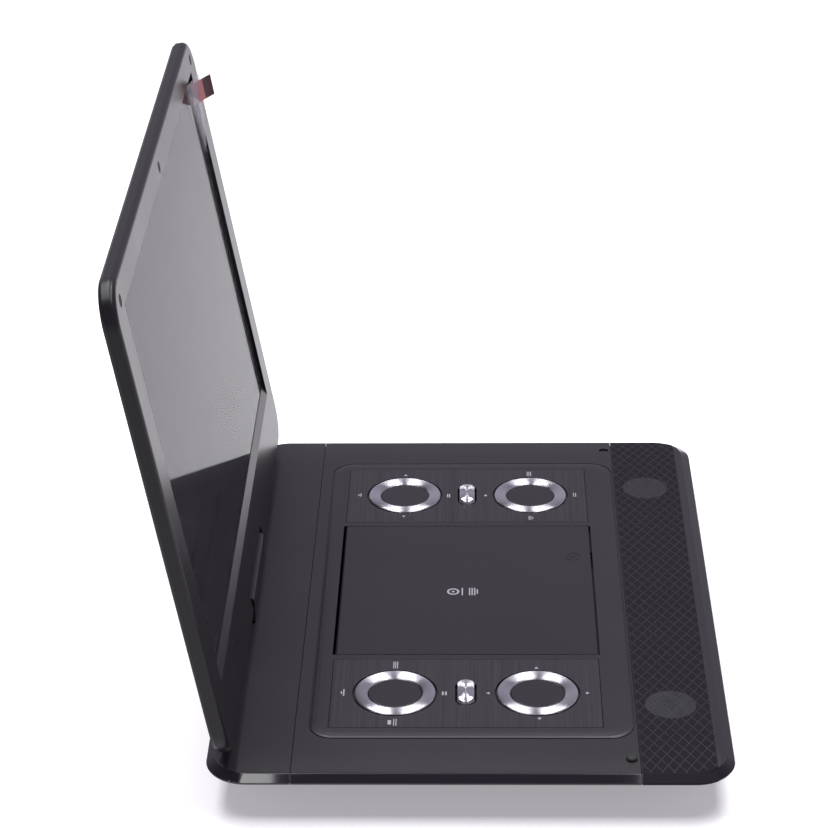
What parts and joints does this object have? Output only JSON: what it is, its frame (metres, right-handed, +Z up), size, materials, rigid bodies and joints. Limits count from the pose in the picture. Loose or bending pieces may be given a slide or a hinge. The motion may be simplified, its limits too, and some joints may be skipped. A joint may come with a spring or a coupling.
{
  "type": "portable dvd player",
  "caption": "Portable disc player with a swivelling, tilting widescreen lid, a hinged disc door over its drive, ring and oval buttons and a speaker grille along the front.",
  "frame": {"origin": "on the table, under the middle of the open player's bounding box", "axes": "+X the user's right, +Y from the user to the hinge, +Z up"},
  "size_m": [0.368, 0.2987, 0.2854],
  "materials": {
    "casing_plastic": "fine moulded texture, charcoal black",
    "panel_plastic": "brushed dark film under gloss",
    "inner_plastic": "moulded",
    "spun_metal": "spun, bright",
    "circuit_board": "solder mask",
    "key_rubber": "silicone",
    "foot_rubber": "matte",
    "steel_plate": "zinc plated",
    "polished_steel": "polished",
    "speaker_steel": "painted basket and paper cone",
    "shield_aluminium": "sheet",
    "screen_glass": "dark display glass",
    "lens_glass": "clear moulded",
    "film_plastic": "clear protective film",
    "tab_plastic": "printed film tab"
  },
  "bodies": {
    "base": {"base_bottom_cover": "casing_plastic", "rear_top_cover": "casing_plastic", "middle_top_cover": "casing_plastic", "front_grille_cover": "casing_plastic", "left_control_panel": "panel_plastic", "right_control_panel": "panel_plastic", "key_boards": "circuit_board", "key_membranes": "key_rubber", "disc_well": "inner_plastic", "traverse_chassis": "steel_plate", "isolation_grommets": "key_rubber", "guide_rods": "polished_steel", "spindle_motor": "steel_plate", "sled_motor": "steel_plate", "main_board": "circuit_board", "battery_pack": "inner_plastic", "left_speaker": "speaker_steel", "right_speaker": "speaker_steel", "dc_jack": "inner_plastic", "headphone_jack": "inner_plastic", "av_jack": "inner_plastic", "usb_port": "polished_steel", "card_slot": "steel_plate", "rubber_feet": "foot_rubber", "base_screws": "polished_steel", "base_bumpers": "foot_rubber", "swivel_bracket": "steel_plate", "swivel_washer": "inner_plastic", "latch_housing": "inner_plastic"},
    "door": {"disc_door": "casing_plastic"},
    "power_switch": {"power_switch_knob": "panel_plastic"},
    "latch": {"latch_slider": "inner_plastic"},
    "spindle": {"spindle_hub": "inner_plastic"},
    "pickup": {"pickup_carriage": "inner_plastic", "pickup_lens": "lens_glass"},
    "sled_screw": {"lead_screw": "polished_steel"},
    "turret": {"swivel_turret": "casing_plastic", "swivel_retainer": "steel_plate"},
    "lid": {"lid_front_bezel": "casing_plastic", "lid_back_cover": "casing_plastic", "lcd_panel": "screen_glass", "lcd_shield": "shield_aluminium", "lcd_driver_board": "circuit_board", "hinge_brackets": "steel_plate", "lid_plugs": "foot_rubber", "lid_screws": "polished_steel", "ir_window": "lens_glass", "screen_film": "film_plastic", "film_pull_tab": "tab_plastic"},
    "left_rear_pad": {"left_rear_ring": "spun_metal", "left_rear_cap": "panel_plastic"},
    "left_front_pad": {"left_front_ring": "spun_metal", "left_front_cap": "panel_plastic"},
    "left_oval": {"left_oval_button": "spun_metal"},
    "right_rear_pad": {"right_rear_ring": "spun_metal", "right_rear_cap": "panel_plastic"},
    "right_front_pad": {"right_front_ring": "spun_metal", "right_front_cap": "panel_plastic"},
    "right_oval": {"right_oval_button": "spun_metal"}
  },
  "joints": [
    {"name": "screen_swivel", "type": "hinge", "parent": "base", "child": "turret", "pos_m": [0, 0.1042, 0.036], "axis": [0, 0, 1], "range_deg": [-90, 180]},
    {"name": "lid_tilt", "type": "hinge", "parent": "turret", "child": "lid", "pos_m": [0, 0.1042, 0.036], "axis": [1, 0, 0], "range_deg": [-78, 100], "deforming": ["film_pull_tab"]},
    {"name": "door_open", "type": "hinge", "parent": "base", "child": "door", "pos_m": [0, 0.0498, 0.0246], "axis": [-1, 0, 0], "range_deg": [0, 65]},
    {"name": "latch_release", "type": "slide", "parent": "base", "child": "latch", "axis": [0, -1, 0], "range_m": [0, 0.0015], "stiffness_N_per_m": 300},
    {"name": "power_slide", "type": "slide", "parent": "base", "child": "power_switch", "axis": [0, -1, 0], "range_m": [0, 0.003]},
    {"name": "spindle_spin", "type": "hinge", "parent": "base", "child": "spindle", "pos_m": [0, -0.0161, 0.02], "axis": [0, 0, 1], "continuous": true},
    {"name": "pickup_travel", "type": "slide", "parent": "base", "child": "pickup", "axis": [0, -1, 0], "range_m": [0, 0.034]},
    {"name": "lead_screw_turn", "type": "hinge", "parent": "base", "child": "sled_screw", "pos_m": [0.033, -0.0161, 0.0086], "axis": [0, 1, 0], "range_deg": [-1, 4082]},
    {"name": "left_rear_pad_press", "type": "slide", "parent": "base", "child": "left_rear_pad", "axis": [0, 0, -1], "range_m": [0, 0.0007], "stiffness_N_per_m": 400},
    {"name": "left_front_pad_press", "type": "slide", "parent": "base", "child": "left_front_pad", "axis": [0, 0, -1], "range_m": [0, 0.0007], "stiffness_N_per_m": 400},
    {"name": "left_oval_press", "type": "slide", "parent": "base", "child": "left_oval", "axis": [0, 0, -1], "range_m": [0, 0.0007], "stiffness_N_per_m": 400},
    {"name": "right_rear_pad_press", "type": "slide", "parent": "base", "child": "right_rear_pad", "axis": [0, 0, -1], "range_m": [0, 0.0007], "stiffness_N_per_m": 400},
    {"name": "right_front_pad_press", "type": "slide", "parent": "base", "child": "right_front_pad", "axis": [0, 0, -1], "range_m": [0, 0.0007], "stiffness_N_per_m": 400},
    {"name": "right_oval_press", "type": "slide", "parent": "base", "child": "right_oval", "axis": [0, 0, -1], "range_m": [0, 0.0007], "stiffness_N_per_m": 400}
  ],
  "couplings": [
    {"joint": "lead_screw_turn", "follows": "pickup_travel", "rad_per_m": 2094.4}
  ]
}
